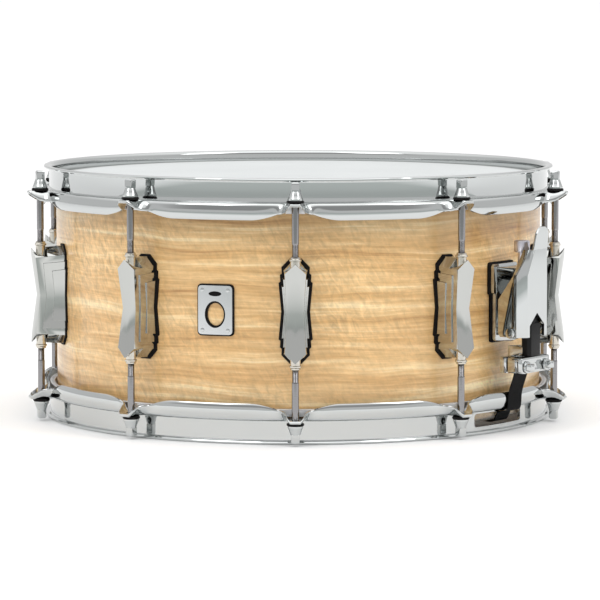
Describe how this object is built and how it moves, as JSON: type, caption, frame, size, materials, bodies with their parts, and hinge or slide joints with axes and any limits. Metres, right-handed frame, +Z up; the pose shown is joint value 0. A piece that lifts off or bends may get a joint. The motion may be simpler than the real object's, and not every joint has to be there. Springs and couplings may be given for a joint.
{
  "type": "snare drum",
  "caption": "Shallow wooden snare drum with a coated batter head, pressed steel hoops, double-ended lugs, lever strainer, butt and snare wires.",
  "frame": {"origin": "on the drum's axis, in the plane of the lower rim", "axes": "+Z up along the drum's axis to the batter head; -Y through the front lug; the strainer stands 54 degrees round from -Y towards +X"},
  "size_m": [0.3844, 0.4012, 0.1814],
  "materials": {
    "shell_wood": "clear gloss over pale figured maple-like veneer",
    "chrome": "polished plating",
    "head_coated": "sprayed matt white film",
    "head_clear": "thin hazy clear film",
    "ring_aluminium": "plain drawn ring",
    "gasket_rubber": "matt black",
    "snare_steel": "bright wire",
    "carriage_black": "satin black",
    "strap_black": "woven ribbon",
    "knob_satin": "satin plating",
    "badge_plate": "polished plate with satin fields"
  },
  "bodies": {
    "drum": {"badge_backing": "gasket_rubber", "badge_plate": "badge_plate", "batter_head": "head_coated", "batter_head_ring": "ring_aluminium", "batter_hoop": "chrome", "butt_base": "chrome", "butt_clamp_plate": "chrome", "butt_gasket": "gasket_rubber", "butt_mounting_screw": "chrome", "butt_strap": "strap_black", "lever_pivot_pin": "chrome", "lug_01": "chrome", "lug_02": "chrome", "lug_03": "chrome", "lug_04": "chrome", "lug_05": "chrome", "lug_06": "chrome", "lug_07": "chrome", "lug_08": "chrome", "lug_09": "chrome", "lug_10": "chrome", "shell": "shell_wood", "snare_side_head": "head_clear", "snare_side_head_ring": "ring_aluminium", "snare_side_hoop": "chrome", "strainer_base": "chrome", "strainer_gasket": "gasket_rubber", "strainer_mounting_screw_lower": "chrome", "strainer_mounting_screw_upper": "chrome", "strainer_strap": "strap_black", "vent_grommet": "chrome"},
    "strainer_lever": {"strainer_lever": "chrome"},
    "strainer_carriage": {"strainer_carriage": "carriage_black", "strainer_clamp_plate": "chrome"},
    "snare_wires": {"snare_wires": "snare_steel"},
    "tension_knob": {"tension_knob": "knob_satin"},
    "upper_rod_01": {"upper_rod_01": "chrome"},
    "upper_rod_02": {"upper_rod_02": "chrome"},
    "upper_rod_03": {"upper_rod_03": "chrome"},
    "upper_rod_04": {"upper_rod_04": "chrome"},
    "upper_rod_05": {"upper_rod_05": "chrome"},
    "upper_rod_06": {"upper_rod_06": "chrome"},
    "upper_rod_07": {"upper_rod_07": "chrome"},
    "upper_rod_08": {"upper_rod_08": "chrome"},
    "upper_rod_09": {"upper_rod_09": "chrome"},
    "upper_rod_10": {"upper_rod_10": "chrome"},
    "lower_rod_01": {"lower_rod_01": "chrome"},
    "lower_rod_02": {"lower_rod_02": "chrome"},
    "lower_rod_03": {"lower_rod_03": "chrome"},
    "lower_rod_04": {"lower_rod_04": "chrome"},
    "lower_rod_05": {"lower_rod_05": "chrome"},
    "lower_rod_06": {"lower_rod_06": "chrome"},
    "lower_rod_07": {"lower_rod_07": "chrome"},
    "lower_rod_08": {"lower_rod_08": "chrome"},
    "lower_rod_09": {"lower_rod_09": "chrome"},
    "lower_rod_10": {"lower_rod_10": "chrome"},
    "strainer_clamp_screw_left": {"strainer_clamp_screw_left": "chrome"},
    "strainer_clamp_screw_right": {"strainer_clamp_screw_right": "chrome"},
    "butt_clamp_screw_left": {"butt_clamp_screw_left": "chrome"},
    "butt_clamp_screw_right": {"butt_clamp_screw_right": "chrome"}
  },
  "joints": [
    {"name": "strainer_lever_hinge", "type": "hinge", "parent": "drum", "child": "strainer_lever", "pos_m": [0.15938, -0.11579, 0.0707], "axis": [0.5878, 0.809, 0], "range_deg": [0, 80]},
    {"name": "carriage_slide", "type": "slide", "parent": "drum", "child": "strainer_carriage", "axis": [0, 0, -1], "range_m": [0, 0.007], "deforming": ["strainer_strap"]},
    {"name": "snare_wires_drop", "type": "slide", "parent": "drum", "child": "snare_wires", "axis": [0, 0, -1], "range_m": [0, 0.002]},
    {"name": "tension_knob_turn", "type": "hinge", "parent": "drum", "child": "tension_knob", "pos_m": [0.15695, -0.11403, 0.0907], "axis": [0, 0, 1], "continuous": true},
    {"name": "upper_rod_01_turn", "type": "hinge", "parent": "drum", "child": "upper_rod_01", "pos_m": [0, -0.1929, 0.1407], "axis": [0, 0, 1], "continuous": true},
    {"name": "upper_rod_02_turn", "type": "hinge", "parent": "drum", "child": "upper_rod_02", "pos_m": [0.11338, -0.15606, 0.1407], "axis": [0, 0, 1], "continuous": true},
    {"name": "upper_rod_03_turn", "type": "hinge", "parent": "drum", "child": "upper_rod_03", "pos_m": [0.18346, -0.05961, 0.1407], "axis": [0, 0, 1], "continuous": true},
    {"name": "upper_rod_04_turn", "type": "hinge", "parent": "drum", "child": "upper_rod_04", "pos_m": [0.18346, 0.05961, 0.1407], "axis": [0, 0, 1], "continuous": true},
    {"name": "upper_rod_05_turn", "type": "hinge", "parent": "drum", "child": "upper_rod_05", "pos_m": [0.11338, 0.15606, 0.1407], "axis": [0, 0, 1], "continuous": true},
    {"name": "upper_rod_06_turn", "type": "hinge", "parent": "drum", "child": "upper_rod_06", "pos_m": [0, 0.1929, 0.1407], "axis": [0, 0, 1], "continuous": true},
    {"name": "upper_rod_07_turn", "type": "hinge", "parent": "drum", "child": "upper_rod_07", "pos_m": [-0.11338, 0.15606, 0.1407], "axis": [0, 0, 1], "continuous": true},
    {"name": "upper_rod_08_turn", "type": "hinge", "parent": "drum", "child": "upper_rod_08", "pos_m": [-0.18346, 0.05961, 0.1407], "axis": [0, 0, 1], "continuous": true},
    {"name": "upper_rod_09_turn", "type": "hinge", "parent": "drum", "child": "upper_rod_09", "pos_m": [-0.18346, -0.05961, 0.1407], "axis": [0, 0, 1], "continuous": true},
    {"name": "upper_rod_10_turn", "type": "hinge", "parent": "drum", "child": "upper_rod_10", "pos_m": [-0.11338, -0.15606, 0.1407], "axis": [0, 0, 1], "continuous": true},
    {"name": "lower_rod_01_turn", "type": "hinge", "parent": "drum", "child": "lower_rod_01", "pos_m": [0, -0.1929, 0.0407], "axis": [0, 0, 1], "continuous": true},
    {"name": "lower_rod_02_turn", "type": "hinge", "parent": "drum", "child": "lower_rod_02", "pos_m": [0.11338, -0.15606, 0.0407], "axis": [0, 0, 1], "continuous": true},
    {"name": "lower_rod_03_turn", "type": "hinge", "parent": "drum", "child": "lower_rod_03", "pos_m": [0.18346, -0.05961, 0.0407], "axis": [0, 0, 1], "continuous": true},
    {"name": "lower_rod_04_turn", "type": "hinge", "parent": "drum", "child": "lower_rod_04", "pos_m": [0.18346, 0.05961, 0.0407], "axis": [0, 0, 1], "continuous": true},
    {"name": "lower_rod_05_turn", "type": "hinge", "parent": "drum", "child": "lower_rod_05", "pos_m": [0.11338, 0.15606, 0.0407], "axis": [0, 0, 1], "continuous": true},
    {"name": "lower_rod_06_turn", "type": "hinge", "parent": "drum", "child": "lower_rod_06", "pos_m": [0, 0.1929, 0.0407], "axis": [0, 0, 1], "continuous": true},
    {"name": "lower_rod_07_turn", "type": "hinge", "parent": "drum", "child": "lower_rod_07", "pos_m": [-0.11338, 0.15606, 0.0407], "axis": [0, 0, 1], "continuous": true},
    {"name": "lower_rod_08_turn", "type": "hinge", "parent": "drum", "child": "lower_rod_08", "pos_m": [-0.18346, 0.05961, 0.0407], "axis": [0, 0, 1], "continuous": true},
    {"name": "lower_rod_09_turn", "type": "hinge", "parent": "drum", "child": "lower_rod_09", "pos_m": [-0.18346, -0.05961, 0.0407], "axis": [0, 0, 1], "continuous": true},
    {"name": "lower_rod_10_turn", "type": "hinge", "parent": "drum", "child": "lower_rod_10", "pos_m": [-0.11338, -0.15606, 0.0407], "axis": [0, 0, 1], "continuous": true},
    {"name": "strainer_clamp_screw_left_turn", "type": "hinge", "parent": "strainer_carriage", "child": "strainer_clamp_screw_left", "pos_m": [0.15446, -0.12767, 0.0472], "axis": [0.809, -0.5878, 0], "continuous": true},
    {"name": "strainer_clamp_screw_right_turn", "type": "hinge", "parent": "strainer_carriage", "child": "strainer_clamp_screw_right", "pos_m": [0.16915, -0.10744, 0.0472], "axis": [0.809, -0.5878, 0], "continuous": true},
    {"name": "butt_clamp_screw_left_turn", "type": "hinge", "parent": "drum", "child": "butt_clamp_screw_left", "pos_m": [-0.14637, 0.12179, 0.0472], "axis": [-0.809, 0.5878, 0], "continuous": true},
    {"name": "butt_clamp_screw_right_turn", "type": "hinge", "parent": "drum", "child": "butt_clamp_screw_right", "pos_m": [-0.16106, 0.10157, 0.0472], "axis": [-0.809, 0.5878, 0], "continuous": true}
  ],
  "couplings": [
    {"joint": "carriage_slide", "follows": "strainer_lever_hinge", "m_per_rad": 0.005},
    {"joint": "snare_wires_drop", "follows": "strainer_lever_hinge", "m_per_rad": 0.0014}
  ]
}
